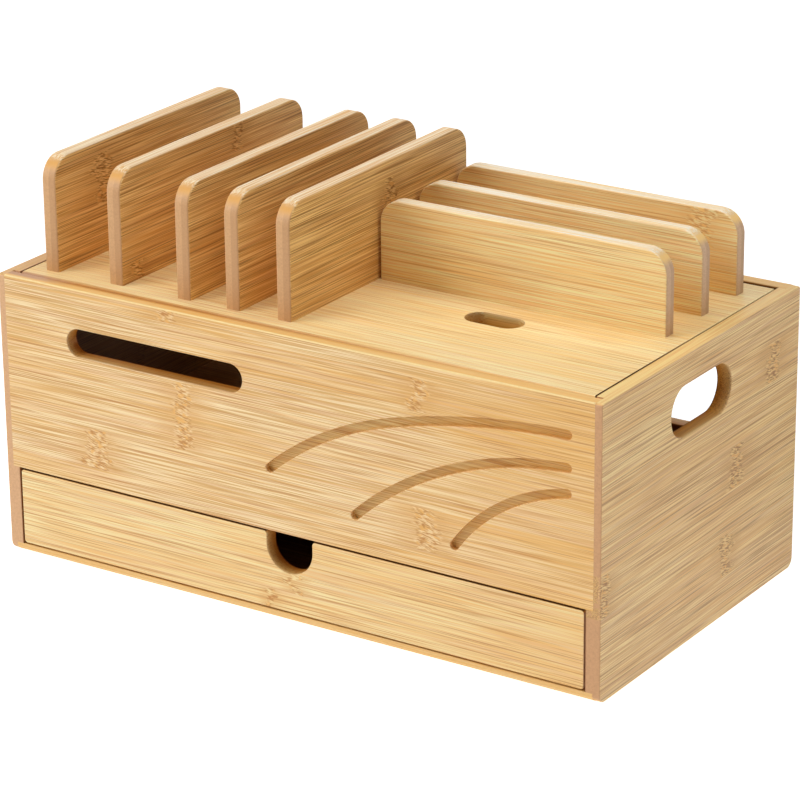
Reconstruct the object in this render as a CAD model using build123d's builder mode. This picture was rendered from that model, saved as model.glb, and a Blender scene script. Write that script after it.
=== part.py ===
from build123d import *
import os

# Charging station organizer in bamboo board: a case with one drawer, and a lift-off lid that
# carries a group of long dividers and a group of lower cross dividers.
# Millimetres. +Z is up, +X is to the right seen from the front, -Y is the front.
# The origin is on the table, under the middle of the case.

# Case
case_width = 350.0
case_depth = 193.0
case_height = 150.0
side_thickness = 8.0
front_thickness = 8.0
back_thickness = 8.0
base_thickness = 5.0
shelf_thickness = 5.0
housing_depth = 4.0  # how far the other boards are let into a side
bay_height = 42.0  # clear height for the drawer
foot_radius = 5.0  # lower corners of a side, seen from the end
shoulder_radius = 1.5  # upper corners of a side
base_round = 2.5  # lower front and back edges of the base
edge_ease = 0.6  # sanded outer edges
seam_ease = 3.0  # inner top edge of the front, a soft groove beside the lid

# Lid
lid_thickness = 8.0
lid_side_gap = 0.8
lid_front_gap = 0.3
lid_back_gap = 3.0
lid_ease = 0.4
lid_seam_ease = 1.0  # front top edge of the lid
cleat_width = 10.0
cleat_height = 6.0

# Hand hole in each side
handle_length = 59.0
handle_height = 26.0
handle_cover = 1.5  # wood left between the hole and the cleat above it
handle_forward = 2.5  # the hole sits this far in front of the middle

# Cable slot in the front
slot_length = 107.0
slot_height = 15.0
slot_from_left = 95.7  # outer left face to the middle of the slot
slot_drop = 28.1  # case top to the middle of the slot

# Carved sweeps in the front, laid out in a field that hangs from its upper right corner
groove_width = 4.9
groove_depth = 3.0
field_width = 167.1
field_height = 67.1
field_from_right = 18.5
field_from_top = 18.5
# each sweep is an arc from start to end, and the top one runs on in a flatter arc to its tail:
# start, end and tail as shares of the field, and the radius as a share of its width
sweep_shares = (
    ((0.000, 0.235), (0.423, 0.794), 1.072, (1.000, 1.000)),
    ((0.297, 0.028), (1.000, 0.758), 1.098, None),
    ((0.633, 0.000), (1.000, 0.562), 0.580, None),
)

# Window in the back
low_wall_height = 66.3  # table to the window's lower edge
top_rail_height = 23.7
post_width = 33.0  # outer side face to the window
window_radius = 10.0

# Cable hole in the lid
cable_hole_length = 31.5
cable_hole_width = 15.5
cable_hole_from_right = 101.6  # outer right face to the middle of the hole
cable_hole_from_divider = 21.3  # front cross divider to the middle of the hole

# Long dividers, from left to right
long_thickness = 8.3
long_height = 59.0
long_from_left = 17.4  # outer left face to the first divider
long_from_front = 16.8  # outer front face to the dividers
long_from_back = 17.6
long_slot_1 = 31.8  # clear widths between the long dividers
long_slot_2 = 33.2
long_slot_3 = 21.2
long_slot_4 = 22.1
divider_radius = 12.0
divider_ease = 0.6

# Cross dividers, from front to back
cross_thickness = 7.6
cross_height = 42.2
cross_gap = 1.3  # last long divider to the cross dividers
cross_from_right = 19.3  # outer right face to the cross dividers
cross_from_back = 22.8  # outer back face to the back cross divider
cross_slot_1 = 27.3  # clear widths between the cross dividers
cross_slot_2 = 27.6
cross_names = ("front", "middle", "back")

# Wood screws through the lid into the dividers; they never show, so few flat sides do
screw_sides = 12
screw_radius = 1.75
screw_head_radius = 3.5
screw_head_taper = 45.0
screw_length = 24.0
screw_point = 4.0
screw_point_taper = 20.0
screw_clearance = 0.1
screw_spread_share = 0.68  # distance between a divider's two screws over its length

# Drawer
drawer_gap = 0.6  # clearance round the drawer front
drawer_front_thickness = 8.0
drawer_wall = 7.0
drawer_bottom_thickness = 3.0
drawer_joint_depth = 4.0  # how far the walls are let into the front
drawer_groove_depth = 3.5  # how far the bottom and the back are let into the walls
drawer_bottom_rise = 3.0
drawer_wall_drop = 4.0  # shelf to the top of the drawer walls
drawer_back_inset = 6.0
drawer_back_gap = 0.5
drawer_front_radius = 2.0
notch_width = 27.0
notch_depth = 20.0
notch_ease = 1.5

# Places that several pieces share
half_width = case_width / 2
half_depth = case_depth / 2
side_inner = half_width - side_thickness
housing_end = side_inner + housing_depth
front_inner = half_depth - front_thickness
back_inner = half_depth - back_thickness
shelf_underside = base_thickness + bay_height
shelf_top = shelf_underside + shelf_thickness
lid_underside = case_height - lid_thickness
cleat_underside = lid_underside - cleat_height
lid_half_width = side_inner - lid_side_gap
lid_front = -front_inner + lid_front_gap
lid_back = back_inner - lid_back_gap
drawer_half_width = side_inner - drawer_gap
drawer_inner = drawer_half_width - drawer_wall
drawer_front_inner = half_depth - drawer_front_thickness
drawer_wall_front = drawer_front_inner + drawer_joint_depth
drawer_wall_back = back_inner - drawer_back_gap
drawer_wall_top = shelf_underside - drawer_wall_drop
drawer_front_foot = base_thickness + drawer_gap
drawer_front_top = shelf_underside - drawer_gap
drawer_bottom_foot = base_thickness + drawer_bottom_rise
drawer_bottom_top = drawer_bottom_foot + drawer_bottom_thickness
drawer_back_face = drawer_wall_back - drawer_back_inset

os.makedirs("parts", exist_ok=True)


def save(piece, name):
    piece.label = name
    export_step(piece, f"parts/{name}.step")


# Right side: hand hole, rounded corners, and housings for the front, back, base and shelf.
handle_middle = cleat_underside - handle_cover - handle_height / 2
with BuildPart() as right_side:
    with BuildSketch(Plane.YZ.offset(side_inner)) as side_outline:
        Rectangle(case_depth, case_height, align=(Align.CENTER, Align.MIN))
        corners = side_outline.vertices().group_by(Axis.Y)
        fillet(corners[0], foot_radius)
        fillet(corners[-1], shoulder_radius)
        with Locations((-handle_forward, handle_middle)):
            SlotOverall(handle_length, handle_height, mode=Mode.SUBTRACT)
    extrude(amount=side_thickness)
    chamfer(right_side.faces().sort_by(Axis.X)[-1].edges(), edge_ease)
    with BuildSketch(Plane.YZ.offset(side_inner)):
        with Locations((-half_depth, shelf_underside)):
            Rectangle(front_thickness, case_height - shelf_underside, align=(Align.MIN, Align.MIN))
        with Locations((half_depth, base_thickness)):
            Rectangle(back_thickness, case_height - base_thickness, align=(Align.MAX, Align.MIN))
        Rectangle(case_depth, base_thickness, align=(Align.CENTER, Align.MIN))
        with Locations((-front_inner, shelf_underside)):
            Rectangle(front_inner + back_inner, shelf_thickness, align=(Align.MIN, Align.MIN))
    extrude(amount=housing_depth, mode=Mode.SUBTRACT)
save(right_side.part, "right_side_panel")

with BuildPart() as left_side:
    mirror(right_side.part, about=Plane.YZ)
save(left_side.part, "left_side_panel")

# Front: the cable slot goes right through, the sweeps are carved into its face.
field_left = half_width - field_from_right - field_width
field_foot = case_height - field_from_top - field_height


def field_point(shares):
    return (field_left + shares[0] * field_width, field_foot + shares[1] * field_height)


sweeps = []
for start, end, radius_share, tail in sweep_shares:
    with BuildLine() as sweep:
        arc = RadiusArc(field_point(start), field_point(end), radius_share * field_width)
        if tail:
            TangentArc(arc @ 1, field_point(tail), tangent=arc % 1)
    sweeps.append(sweep.wire())

with BuildPart() as front_panel:
    with BuildSketch(Plane.XZ.offset(front_inner)):
        with Locations((0, shelf_underside)):
            Rectangle(2 * housing_end, case_height - shelf_underside, align=(Align.CENTER, Align.MIN))
        with Locations((slot_from_left - half_width, case_height - slot_drop)):
            SlotOverall(slot_length, slot_height, mode=Mode.SUBTRACT)
    extrude(amount=front_thickness)
    chamfer(front_panel.faces().sort_by(Axis.Y)[0].edges(), edge_ease)
    fillet(front_panel.faces().sort_by(Axis.Y)[-1].edges().sort_by(Axis.Z)[-1], seam_ease)
    with BuildSketch(Plane.XZ.offset(half_depth)):
        for sweep_wire in sweeps:
            SlotArc(sweep_wire, groove_width)
    extrude(amount=-groove_depth, mode=Mode.SUBTRACT)
save(front_panel.part, "front_panel")

# Back: low wall, posts and top rail round the window, in one board on top of the base.
window_width = case_width - 2 * post_width
window_top = case_height - top_rail_height
with BuildPart() as back_panel:
    with BuildSketch(Plane.XZ.offset(-half_depth)):
        with Locations((0, base_thickness)):
            Rectangle(2 * housing_end, case_height - base_thickness, align=(Align.CENTER, Align.MIN))
        with Locations((0, (low_wall_height + window_top) / 2)):
            window_height = window_top - low_wall_height
            RectangleRounded(window_width, window_height, window_radius, mode=Mode.SUBTRACT)
    extrude(amount=back_thickness)
    chamfer(back_panel.faces().sort_by(Axis.Y)[-1].edges(), edge_ease)
save(back_panel.part, "back_panel")

# Base: its front edge shows under the drawer.
with BuildPart() as base_panel:
    with BuildSketch(Plane.XY):
        Rectangle(2 * housing_end, case_depth)
    extrude(amount=base_thickness)
    fillet(base_panel.faces().sort_by(Axis.Z)[0].edges().filter_by(Axis.X), base_round)
save(base_panel.part, "base_panel")

# Shelf: roof of the drawer bay and floor of the compartment above it.
with BuildPart() as drawer_shelf:
    with BuildSketch(Plane.XY.offset(shelf_underside)):
        with Locations((0, -front_inner)):
            Rectangle(2 * housing_end, front_inner + back_inner, align=(Align.CENTER, Align.MIN))
    extrude(amount=shelf_thickness)
save(drawer_shelf.part, "drawer_shelf")

# Cleats: glued inside the sides, the lid rests on them.
with BuildPart() as right_cleat:
    with BuildSketch(Plane.XY.offset(cleat_underside)):
        with Locations((side_inner, -front_inner)):
            Rectangle(cleat_width, front_inner + back_inner, align=(Align.MAX, Align.MIN))
    extrude(amount=cleat_height)
    lower_inner_edge = right_cleat.edges().filter_by(Axis.Y).sort_by(Axis.X)[:2].sort_by(Axis.Z)[0]
    chamfer(lower_inner_edge, edge_ease)
save(right_cleat.part, "right_lid_cleat")

with BuildPart() as left_cleat:
    mirror(right_cleat.part, about=Plane.YZ)
save(left_cleat.part, "left_lid_cleat")

# Where the middle of each divider stands on the lid.
long_length = case_depth - long_from_front - long_from_back
long_middle_y = (long_from_front - long_from_back) / 2
long_left = -half_width + long_from_left
long_places = []
for slot in (0, long_slot_1, long_slot_2, long_slot_3, long_slot_4):
    long_left += slot
    long_places.append((long_left + long_thickness / 2, long_middle_y))
    long_left += long_thickness
cross_left = long_left + cross_gap
cross_right = half_width - cross_from_right
cross_length = cross_right - cross_left
cross_middle_x = (cross_left + cross_right) / 2
cross_front = half_depth - cross_from_back - cross_slot_2 - cross_slot_1 - 3 * cross_thickness
cable_hole_place = (half_width - cable_hole_from_right, cross_front - cable_hole_from_divider)
cross_places = []
for slot in (0, cross_slot_1, cross_slot_2):
    cross_front += slot
    cross_places.append((cross_middle_x, cross_front + cross_thickness / 2))
    cross_front += cross_thickness

# Two screws to each divider, on its middle line, heads flush with the underside of the lid.
long_reach = screw_spread_share * long_length / 2
cross_reach = screw_spread_share * cross_length / 2
screw_places = [(x, y + side * long_reach) for x, y in long_places for side in (-1, 1)]
screw_places += [(x + side * cross_reach, y) for x, y in cross_places for side in (-1, 1)]
screw_spots = [(x, y, lid_underside) for x, y in screw_places]


def screw_shape(clearance):
    # a flat-head screw that stands on its head, grown by the clearance where it cuts its hole
    head_height = screw_head_radius - screw_radius
    with BuildPart() as shape:
        with BuildSketch():
            RegularPolygon(screw_head_radius + clearance, screw_sides, major_radius=False)
        extrude(amount=head_height, taper=screw_head_taper)
        extrude(shape.faces().sort_by(Axis.Z)[-1], amount=screw_length - screw_point - head_height)
        extrude(shape.faces().sort_by(Axis.Z)[-1], amount=screw_point, taper=screw_point_taper)
    return shape.part


screw = screw_shape(0)
screw_hole = screw_shape(screw_clearance)

# Lid: lies flush between the four walls.
with BuildPart() as lid_board:
    with BuildSketch(Plane.XY.offset(lid_underside)):
        with Locations((0, lid_front)):
            Rectangle(2 * lid_half_width, lid_back - lid_front, align=(Align.CENTER, Align.MIN))
        with Locations(cable_hole_place):
            SlotOverall(cable_hole_length, cable_hole_width, mode=Mode.SUBTRACT)
    extrude(amount=lid_thickness)
    top_edges = lid_board.faces().sort_by(Axis.Z)[-1].edges()
    seam_edge = top_edges.sort_by(Axis.Y)[0]
    chamfer(top_edges - ShapeList([seam_edge]), lid_ease)
    fillet(lid_board.faces().sort_by(Axis.Y)[0].edges().sort_by(Axis.Z)[-1], lid_seam_ease)
    with Locations(*screw_spots):
        add(screw_hole, mode=Mode.SUBTRACT)
save(lid_board.part, "lid_board")


def divider(length, height, thickness, place, runs_back):
    # a board that stands on the lid, with its two upper corners rounded and its edges sanded
    across = Plane.YZ if runs_back else Plane.XZ
    board_plane = Plane(origin=(*place, case_height), x_dir=across.x_dir, z_dir=across.z_dir)
    seat = Vector(*place, lid_underside)
    reach = screw_spread_share * length / 2 * across.x_dir
    with BuildPart() as board:
        with BuildSketch(board_plane) as outline:
            Rectangle(length, height, align=(Align.CENTER, Align.MIN))
            fillet(outline.vertices().group_by(Axis.Y)[-1], divider_radius)
        extrude(amount=thickness / 2, both=True)
        broad_faces = board.faces().sort_by(SortBy.AREA)[-2:]
        upper_edges = [edge for edge in broad_faces.edges() if edge.center().Z > case_height]
        chamfer(upper_edges, divider_ease)
        with Locations(seat - reach, seat + reach):
            add(screw_hole, mode=Mode.SUBTRACT)
    return board.part


for number, place in enumerate(long_places, start=1):
    save(divider(long_length, long_height, long_thickness, place, True), f"long_divider_{number}")
for name, place in zip(cross_names, cross_places):
    save(divider(cross_length, cross_height, cross_thickness, place, False), f"cross_divider_{name}")

# Divider screws: points up in the dividers.
with BuildPart() as divider_screws:
    with Locations(*screw_spots):
        add(screw)
save(divider_screws.part, "divider_screws")

# Drawer front: finger notch in its upper edge, and behind it the seats of walls and bottom.
with BuildPart() as drawer_front:
    with BuildSketch(Plane.XZ.offset(drawer_front_inner)) as front_outline:
        with Locations((0, drawer_front_foot)):
            Rectangle(
                2 * drawer_half_width,
                drawer_front_top - drawer_front_foot,
                align=(Align.CENTER, Align.MIN),
            )
        fillet(front_outline.vertices(), drawer_front_radius)
        with Locations((0, drawer_front_top)):
            SlotOverall(2 * notch_depth, notch_width, rotation=90, mode=Mode.SUBTRACT)
        notch_corners = front_outline.vertices().filter_by_position(Axis.X, -notch_width, notch_width)
        fillet(notch_corners.group_by(Axis.Y)[-1], notch_ease)
    extrude(amount=drawer_front_thickness)
    chamfer(drawer_front.faces().sort_by(Axis.Y)[0].edges(), edge_ease)
    with BuildSketch(Plane.XZ.offset(drawer_front_inner)):
        with Locations((drawer_inner, base_thickness), (-drawer_half_width, base_thickness)):
            Rectangle(drawer_wall, drawer_wall_top - base_thickness, align=(Align.MIN, Align.MIN))
    extrude(amount=drawer_joint_depth, mode=Mode.SUBTRACT)
    with BuildSketch(Plane.XZ.offset(drawer_front_inner)):
        with Locations((0, drawer_bottom_foot)):
            Rectangle(2 * drawer_inner, drawer_bottom_thickness, align=(Align.CENTER, Align.MIN))
    extrude(amount=drawer_groove_depth, mode=Mode.SUBTRACT)
save(drawer_front.part, "drawer_front")

# Drawer walls: a groove for the bottom runs along each, and a housing holds the back.
with BuildPart() as drawer_right_side:
    with BuildSketch(Plane.YZ.offset(drawer_inner)):
        with Locations((-drawer_wall_front, base_thickness)):
            Rectangle(
                drawer_wall_front + drawer_wall_back,
                drawer_wall_top - base_thickness,
                align=(Align.MIN, Align.MIN),
            )
    extrude(amount=drawer_wall)
    with BuildSketch(Plane.YZ.offset(drawer_inner)):
        with Locations((-drawer_wall_front, drawer_bottom_foot)):
            Rectangle(
                drawer_wall_front + drawer_wall_back,
                drawer_bottom_thickness,
                align=(Align.MIN, Align.MIN),
            )
        with Locations((drawer_back_face, drawer_bottom_top)):
            Rectangle(drawer_wall, drawer_wall_top - drawer_bottom_top, align=(Align.MAX, Align.MIN))
    extrude(amount=drawer_groove_depth, mode=Mode.SUBTRACT)
save(drawer_right_side.part, "drawer_right_side")

with BuildPart() as drawer_left_side:
    mirror(drawer_right_side.part, about=Plane.YZ)
save(drawer_left_side.part, "drawer_left_side")

with BuildPart() as drawer_back:
    with BuildSketch(Plane.XZ.offset(-drawer_back_face)):
        with Locations((0, drawer_bottom_top)):
            Rectangle(
                2 * (drawer_inner + drawer_groove_depth),
                drawer_wall_top - drawer_bottom_top,
                align=(Align.CENTER, Align.MIN),
            )
    extrude(amount=drawer_wall)
save(drawer_back.part, "drawer_back")

with BuildPart() as drawer_bottom:
    with BuildSketch(Plane.XY.offset(drawer_bottom_foot)):
        with Locations((0, -drawer_front_inner - drawer_groove_depth)):
            Rectangle(
                2 * (drawer_inner + drawer_groove_depth),
                drawer_front_inner + drawer_groove_depth + drawer_back_face,
                align=(Align.CENTER, Align.MIN),
            )
    extrude(amount=drawer_bottom_thickness)
save(drawer_bottom.part, "drawer_bottom")
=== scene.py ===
import bmesh
import bpy
from math import acos, cos, radians, sin
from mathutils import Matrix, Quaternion, Vector


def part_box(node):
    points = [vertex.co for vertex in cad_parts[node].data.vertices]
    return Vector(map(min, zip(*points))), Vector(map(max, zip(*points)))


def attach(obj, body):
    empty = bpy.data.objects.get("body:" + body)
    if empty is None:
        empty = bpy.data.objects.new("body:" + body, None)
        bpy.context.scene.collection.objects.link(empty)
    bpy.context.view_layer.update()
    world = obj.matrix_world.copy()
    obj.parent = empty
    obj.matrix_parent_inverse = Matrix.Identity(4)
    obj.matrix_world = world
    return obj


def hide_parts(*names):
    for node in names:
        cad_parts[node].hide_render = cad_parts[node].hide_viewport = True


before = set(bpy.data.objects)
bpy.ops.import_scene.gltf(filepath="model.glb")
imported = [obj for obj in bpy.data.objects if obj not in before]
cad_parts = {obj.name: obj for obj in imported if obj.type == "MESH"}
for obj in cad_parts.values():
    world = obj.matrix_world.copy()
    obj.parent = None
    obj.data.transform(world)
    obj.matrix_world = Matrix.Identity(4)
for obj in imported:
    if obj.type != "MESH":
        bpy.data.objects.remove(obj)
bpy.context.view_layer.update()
mm = 0.001
print("frame loaded with", len(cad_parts), "nodes")

# Camera, lights and floor

cameraView = {
    "azimuth": 33.443,
    "elevation": 20.901,
    "roll": -0.602,
    "distance": 1.8304,
    "lens": 163.95,
    "sensor": 36,
    "target": (0.0017, 0.0, 0.0862),
}

studioLamps = {
    "keySoftbox": {"place": (-1.65, -1.75, 1.45), "size": 1.7, "power": 44},
    "topSoftbox": {"place": (0.1, 0.0, 2.3), "size": 2.0, "power": 30},
    "rightSoftbox": {"place": (1.7, 0.2, 1.7), "size": 1.6, "power": 10},
}
lampAim = (0, 0, 0.08)  # inside the box

studioFloor = {
    "size": 8.0,
    "drop": 0.0002,  # a hair under the base, so that the two don't flicker
    "colour": (0.86, 0.86, 0.86, 1),
    "cardColour": (0.3, 0.3, 0.3, 1),  # what the floor reflects onto the box
    "glow": 0.85,  # light the table gives to the walls of the box
    "glowEnds": (0.08, 0.30),  # behind the box the table is dark, so that no light enters at the back
    "glowStarts": (0.24, 0.40),  # but at its right it glows all along
    "cameraGlow": 0.6,  # keeps the backdrop white
}


def addCamera(look):
    turn, rise = radians(look["azimuth"]), radians(look["elevation"])
    back = Vector((sin(turn) * cos(rise), -cos(turn) * cos(rise), sin(rise)))
    bpy.ops.object.camera_add(location=Vector(look["target"]) + back * look["distance"])
    camera = bpy.context.object
    camera.name = "photoCamera"
    camera.rotation_mode = "QUATERNION"
    aim = (-back).to_track_quat("-Z", "Y")
    camera.rotation_quaternion = aim @ Quaternion((0, 0, 1), radians(look["roll"]))
    camera.data.lens = look["lens"]
    camera.data.sensor_width = look["sensor"]
    bpy.context.scene.camera = camera


def addLamp(name, lamp):
    bpy.ops.object.light_add(type="AREA", location=lamp["place"])
    light = bpy.context.object
    light.name = name
    light.data.size = lamp["size"]
    light.data.energy = lamp["power"]
    towards = Vector(lampAim) - Vector(lamp["place"])
    light.rotation_euler = towards.to_track_quat("-Z", "Y").to_euler()


def addFloor(look):
    bpy.ops.mesh.primitive_plane_add(size=look["size"], location=(0, 0, -look["drop"]))
    floor = bpy.context.object
    floor.name = "studioFloor"
    material, tree = newMaterial("paleFloor")
    tree.nodes.clear()
    output = tree.nodes.new("ShaderNodeOutputMaterial")
    path = tree.nodes.new("ShaderNodeLightPath")
    coords = tree.nodes.new("ShaderNodeTexCoord")
    x, y, _ = splitNode(tree, coords.outputs["Object"])
    ahead = rangeNode(tree, y, *look["glowEnds"], look["glow"], 0.0)
    beside = rangeNode(tree, x, *look["glowStarts"], 0.0, look["glow"])
    given = mathNode(tree, "MAXIMUM", ahead, beside)
    seen = mathNode(tree, "MULTIPLY", path.outputs["Is Camera Ray"], look["cameraGlow"])
    glow = tree.nodes.new("ShaderNodeEmission")
    tree.links.new(mathNode(tree, "MAXIMUM", given, seen), glow.inputs["Strength"])
    grey = tree.nodes.new("ShaderNodeBsdfDiffuse")
    grey.inputs["Color"].default_value = look["cardColour"]
    pale = tree.nodes.new("ShaderNodeBsdfDiffuse")
    pale.inputs["Color"].default_value = look["colour"]
    mix = tree.nodes.new("ShaderNodeMixShader")
    tree.links.new(path.outputs["Is Camera Ray"], mix.inputs["Fac"])
    tree.links.new(grey.outputs[0], mix.inputs[1])
    tree.links.new(pale.outputs[0], mix.inputs[2])
    both = tree.nodes.new("ShaderNodeAddShader")
    tree.links.new(mix.outputs[0], both.inputs[0])
    tree.links.new(glow.outputs[0], both.inputs[1])
    tree.links.new(both.outputs[0], output.inputs["Surface"])
    floor.data.materials.append(material)


def setWorld():
    # white to the camera and in reflections and through glass, dark as a source of light
    world = bpy.data.worlds.new("whiteStudio")
    bpy.context.scene.world = world
    world.use_nodes = True
    tree = world.node_tree
    backdrop = tree.nodes["Background"]
    backdrop.inputs["Color"].default_value = (1, 1, 1, 1)
    path = tree.nodes.new("ShaderNodeLightPath")
    seen = path.outputs["Is Camera Ray"]
    for label in ("Is Glossy Ray", "Is Transmission Ray"):
        seen = mathNode(tree, "MAXIMUM", seen, path.outputs[label])
    tree.links.new(seen, backdrop.inputs["Strength"])


# Shader tools


def newMaterial(name):
    material = bpy.data.materials.new(name)
    material.use_nodes = True
    return material, material.node_tree


def toSocket(tree, value, socket):
    if isinstance(value, bpy.types.NodeSocket):
        tree.links.new(value, socket)
    else:
        socket.default_value = value


def mathNode(tree, operation, *values, clamp=False):
    node = tree.nodes.new("ShaderNodeMath")
    node.operation = operation
    node.use_clamp = clamp
    for socket, value in zip(node.inputs, values):
        toSocket(tree, value, socket)
    return node.outputs[0]


def centredNode(tree, noise, size):
    # a noise between 0 and 1 made to swing by half the size to both sides of 0
    return mathNode(tree, "MULTIPLY_ADD", noise, size, -size / 2)


def vectorNode(tree, operation, first, second):
    node = tree.nodes.new("ShaderNodeVectorMath")
    node.operation = operation
    toSocket(tree, first, node.inputs[0])
    toSocket(tree, second, node.inputs[1])
    return node.outputs["Vector"]


def splitNode(tree, vector):
    node = tree.nodes.new("ShaderNodeSeparateXYZ")
    tree.links.new(vector, node.inputs[0])
    return list(node.outputs)


def combineNode(tree, x, y, z):
    node = tree.nodes.new("ShaderNodeCombineXYZ")
    for socket, value in zip(node.inputs, (x, y, z)):
        toSocket(tree, value, socket)
    return node.outputs[0]


def noiseNode(tree, place, stretch, detail, roughness=0.5):
    # stretch is how often the noise repeats per metre along, across and through the board
    node = tree.nodes.new("ShaderNodeTexNoise")
    node.inputs["Scale"].default_value = 1
    node.inputs["Detail"].default_value = detail
    node.inputs["Roughness"].default_value = roughness
    toSocket(tree, vectorNode(tree, "MULTIPLY", place, stretch), node.inputs["Vector"])
    return node.outputs["Fac"]


def rangeNode(tree, value, low, high, newLow=0.0, newHigh=1.0, smooth=False):
    node = tree.nodes.new("ShaderNodeMapRange")
    node.interpolation_type = "SMOOTHSTEP" if smooth else "LINEAR"
    for socket, number in zip(node.inputs, (value, low, high, newLow, newHigh)):
        toSocket(tree, number, socket)
    return node.outputs[0]


def mixNode(tree, factor, first, second, blend="MIX"):
    node = tree.nodes.new("ShaderNodeMix")
    node.data_type = "RGBA"
    node.blend_type = blend
    toSocket(tree, factor, node.inputs["Factor"])
    toSocket(tree, first, node.inputs[6])
    toSocket(tree, second, node.inputs[7])
    return node.outputs[2]


def newGroup(name, inputs, outputs):
    tree = bpy.data.node_groups.new(name, "ShaderNodeTree")
    for label, kind in inputs:
        tree.interface.new_socket(label, in_out="INPUT", socket_type=kind)
    for label, kind in outputs:
        tree.interface.new_socket(label, in_out="OUTPUT", socket_type=kind)
    return tree, tree.nodes.new("NodeGroupInput").outputs, tree.nodes.new("NodeGroupOutput").inputs


def groupNode(tree, group):
    node = tree.nodes.new("ShaderNodeGroup")
    node.node_tree = group
    return node


def srgb(red, green, blue):
    # a colour as a picture editor shows it, 0 to 255, made linear
    def toLinear(value):
        share = value / 255
        return share / 12.92 if share <= 0.04045 else ((share + 0.055) / 1.055) ** 2.4

    return (toLinear(red), toLinear(green), toLinear(blue), 1)


bpy.context.scene.view_settings.view_transform = "Standard"
addCamera(cameraView)
for lampName, lampLook in studioLamps.items():
    addLamp(lampName, lampLook)
addFloor(studioFloor)
setWorld()
print("studio ready")

# Bamboo: one group for the knuckles where a stem had its joints, one for the fibres

knuckleLook = {
    "wobbles": (60, 150, 150),  # each scale is along, across and through the board
    "wobbleSize": 0.018,  # how far the knuckle's outline wanders along the board
    "jags": (30, 700, 700),
    "jagSize": 0.010,
    "core": (0.5, 1.0),  # where the knuckle fades out, in widths from its middle
    "halo": (0.5, 3.2),
    "sideFade": (-0.0002, 0.0006),  # where it fades in at the sides of its strip
}
bambooLook = {
    "bends": (6, 24, 24),
    "bendSize": 0.0014,  # how far the fibres wander
    "waves": (120, 170, 170),
    "waveSize": 0.0020,  # how far they wander at a knuckle
    "waveShares": (0.85, 0.15),  # in the knuckle and in its halo
    "knuckleSlant": 0.18,  # slope of a knuckle's short fibres against the others
    "stripJumps": (3.7, 1.9),  # how far off in the noise a strip's fibres lie, along and through it
    "seedJumps": (1.37, 0.213, 0.151),  # and how far off each board lies, per step of its seed
    "lines": (13, 1900, 1900),
    "hairs": (22, 2400, 2400),
    "streaks": (5, 330, 330),
    "patches": (7, 42, 42),
    "blushes": (14, 620, 620),
    "glints": (10, 900, 900),
    "threads": (15, 1700, 1700),
    "dashes": (260, 1500, 1500),
    "blobs": (260, 420, 420),
    "contrast": {"lines": 5.0, "hairs": 6.0, "streaks": 0.4, "strips": 0.5},
    "brightness": 0.25,
    # each of these is where a noise starts to show, where it shows in full, and how strongly
    "goldPatch": (0.42, 0.66, 0.35),
    "goldGlint": (0.52, 0.68, 0.4),
    "roseBlush": (0.50, 0.66, 0.4),
    "brownThread": (0.56, 0.66, 0.75),
    "brownDash": (0.50, 0.38, 0.95),
    "paleDash": (0.52, 0.62, 0.6),
    "goldBlob": (0.58, 0.66, 0.8),
    "haloGold": 0.25,
    "haloBrown": 0.22,
    "roughness": (0.50, 0.40),  # on dark and on pale streaks
    "knuckleRoughness": 0.10,
    "height": {"lines": 0.5, "threads": -0.6, "dashes": 0.1},
    "bumpStrength": 0.2,
    "bumpDepth": 0.0003,
    "specular": 0.3,
    "coat": 0.05,
    "coatRoughness": 0.25,
}


def makeKnuckleGroup(look):
    tree, enter, leave = newGroup(
        "bambooKnuckle",
        [
            ("Vector", "NodeSocketVector"),
            ("Along", "NodeSocketFloat"),
            ("Low", "NodeSocketFloat"),
            ("High", "NodeSocketFloat"),
            ("Width", "NodeSocketFloat"),
        ],
        [("Mask", "NodeSocketFloat"), ("Halo", "NodeSocketFloat")],
    )
    along, across, _ = splitNode(tree, enter["Vector"])
    wobble = noiseNode(tree, enter["Vector"], look["wobbles"], 2)
    jag = noiseNode(tree, enter["Vector"], look["jags"], 1)
    shift = centredNode(tree, wobble, look["wobbleSize"])
    shift = mathNode(tree, "ADD", shift, centredNode(tree, jag, look["jagSize"]))
    along = mathNode(tree, "ADD", along, shift)
    offset = mathNode(tree, "ABSOLUTE", mathNode(tree, "SUBTRACT", along, enter["Along"]))
    share = mathNode(tree, "DIVIDE", offset, enter["Width"])
    lowSide = mathNode(tree, "SUBTRACT", across, enter["Low"])
    highSide = mathNode(tree, "SUBTRACT", enter["High"], across)
    inside = rangeNode(tree, mathNode(tree, "MINIMUM", lowSide, highSide), *look["sideFade"])
    near = rangeNode(tree, share, *look["core"], 1, 0, smooth=True)
    wide = rangeNode(tree, share, *look["halo"], 1, 0, smooth=True)
    tree.links.new(mathNode(tree, "MULTIPLY", near, inside), leave["Mask"])
    tree.links.new(mathNode(tree, "MULTIPLY", wide, inside), leave["Halo"])
    return tree


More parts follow.
